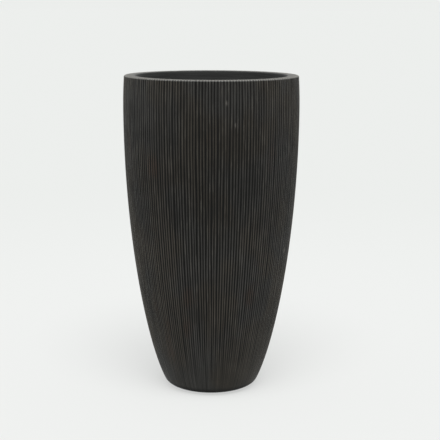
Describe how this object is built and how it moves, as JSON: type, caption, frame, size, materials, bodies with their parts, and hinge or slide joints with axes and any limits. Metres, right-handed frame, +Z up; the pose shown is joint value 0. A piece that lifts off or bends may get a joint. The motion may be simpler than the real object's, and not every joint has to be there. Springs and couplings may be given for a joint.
{
  "type": "tall floor planter",
  "caption": "Tall round floor planter in dark glass-fibre, fine vertical ribs, tapering to a narrow foot, with a boxed rim and a lift-out drain plug.",
  "frame": {"origin": "centre of the standing plane, under the drain hole", "axes": "+Z up along the planter's axis of symmetry; +X and +Y level, through two opposite ribs"},
  "size_m": [0.376, 0.376, 0.68],
  "materials": {
    "face_coat": "matte charcoal wash over stone-filled resin",
    "glass_laminate": "rough dark laminate",
    "rim_filler": "rough filler",
    "base_laminate": "rough dark laminate",
    "bedding_resin": "satin dark resin",
    "plug_rubber": "matte moulded rubber",
    "pad_rubber": "matte rubber"
  },
  "bodies": {
    "planter": {"ribbed_shell": "face_coat", "wall_laminate": "glass_laminate", "rim_core": "rim_filler", "rim_closing_strip": "glass_laminate", "base_plate": "base_laminate", "base_bead": "bedding_resin", "foot_pad_1": "pad_rubber", "foot_pad_2": "pad_rubber", "foot_pad_3": "pad_rubber", "foot_pad_4": "pad_rubber"},
    "plug": {"drain_plug": "plug_rubber"}
  },
  "joints": [
    {"name": "plug_lift", "type": "slide", "parent": "planter", "child": "plug", "axis": [0, 0, 1], "range_m": [0, 0.69]}
  ]
}
